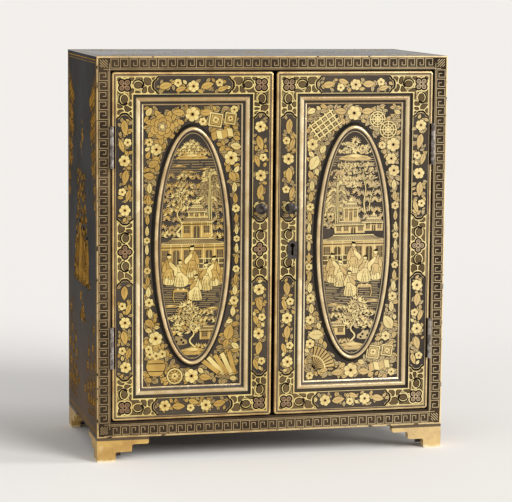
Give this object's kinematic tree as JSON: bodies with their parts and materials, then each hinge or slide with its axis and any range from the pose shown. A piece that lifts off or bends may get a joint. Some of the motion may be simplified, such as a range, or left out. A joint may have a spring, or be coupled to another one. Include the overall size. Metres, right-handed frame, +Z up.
{
  "type": "table cabinet",
  "caption": "Lacquered table cabinet on stepped bracket feet, with panelled doors on butt hinges, raised oval medallions, a door lock and shelves inside.",
  "frame": {"origin": "on the floor under the middle of the bounding box, knobs included", "axes": "+Z up, +Y to the back, +X to the right seen from the front"},
  "size_m": [0.356, 0.195, 0.4],
  "materials": {
    "black_lacquer": "gloss black lacquer over softwood, gold decoration",
    "medallion_lacquer": "gloss black lacquer with gold pictures",
    "gilt_moulding": "gilt moulding, rubbed on the high parts",
    "gilt_feet": "gilt wood, worn at the corners",
    "inner_wood": "plain dark lacquer",
    "hinge_metal": "dull pale brass",
    "white_metal": "tarnished white metal",
    "lock_metal": "aged brass"
  },
  "bodies": {
    "case": {"back_panel": "black_lacquer", "bottom_board": "black_lacquer", "bottom_stop": "inner_wood", "foot_blocks": "inner_wood", "front_left_foot_front": "gilt_feet", "front_left_foot_side": "gilt_feet", "front_right_foot_front": "gilt_feet", "front_right_foot_side": "gilt_feet", "hinge_pins": "hinge_metal", "left_lower_hinge_frame_leaf": "hinge_metal", "left_side": "black_lacquer", "left_upper_hinge_frame_leaf": "hinge_metal", "lower_left_cleat": "inner_wood", "lower_right_cleat": "inner_wood", "lower_shelf": "inner_wood", "rear_left_foot_back": "gilt_feet", "rear_left_foot_side": "gilt_feet", "rear_right_foot_back": "gilt_feet", "rear_right_foot_side": "gilt_feet", "right_lower_hinge_frame_leaf": "hinge_metal", "right_side": "black_lacquer", "right_upper_hinge_frame_leaf": "hinge_metal", "top_board": "black_lacquer", "top_stop": "inner_wood", "upper_left_cleat": "inner_wood", "upper_right_cleat": "inner_wood", "upper_shelf": "inner_wood"},
    "left_door": {"left_bottom_rail": "black_lacquer", "left_hinge_stile": "black_lacquer", "left_knob": "white_metal", "left_lower_hinge_door_leaf": "hinge_metal", "left_medallion": "medallion_lacquer", "left_medallion_bead": "gilt_moulding", "left_meeting_stile": "black_lacquer", "left_moulding": "gilt_moulding", "left_panel": "black_lacquer", "left_top_rail": "black_lacquer", "left_upper_hinge_door_leaf": "hinge_metal", "strike_plate": "lock_metal", "upper_bolt_plate": "lock_metal", "lower_bolt_plate": "lock_metal"},
    "right_door": {"right_bottom_rail": "black_lacquer", "right_hinge_stile": "black_lacquer", "right_knob": "white_metal", "right_lower_hinge_door_leaf": "hinge_metal", "right_medallion": "medallion_lacquer", "right_medallion_bead": "gilt_moulding", "right_meeting_stile": "black_lacquer", "right_moulding": "gilt_moulding", "right_panel": "black_lacquer", "right_top_rail": "black_lacquer", "right_upper_hinge_door_leaf": "hinge_metal", "lock_case": "lock_metal", "escutcheon": "white_metal"},
    "lock_bolt": {"lock_bolt": "lock_metal"},
    "upper_bolt": {"upper_bolt": "lock_metal"},
    "lower_bolt": {"lower_bolt": "lock_metal"}
  },
  "joints": [
    {"name": "left_door_hinge", "type": "hinge", "parent": "case", "child": "left_door", "pos_m": [-0.1635, -0.0877, 0.212], "axis": [0, 0, -1], "range_deg": [0, 170]},
    {"name": "right_door_hinge", "type": "hinge", "parent": "case", "child": "right_door", "pos_m": [0.1635, -0.0877, 0.212], "axis": [0, 0, 1], "range_deg": [0, 170]},
    {"name": "lock_bolt_slide", "type": "slide", "parent": "right_door", "child": "lock_bolt", "axis": [-1, 0, 0], "range_m": [0, 0.007]},
    {"name": "upper_bolt_slide", "type": "slide", "parent": "left_door", "child": "upper_bolt", "axis": [0, 0, 1], "range_m": [0, 0.006]},
    {"name": "lower_bolt_slide", "type": "slide", "parent": "left_door", "child": "lower_bolt", "axis": [0, 0, -1], "range_m": [0, 0.006]}
  ]
}
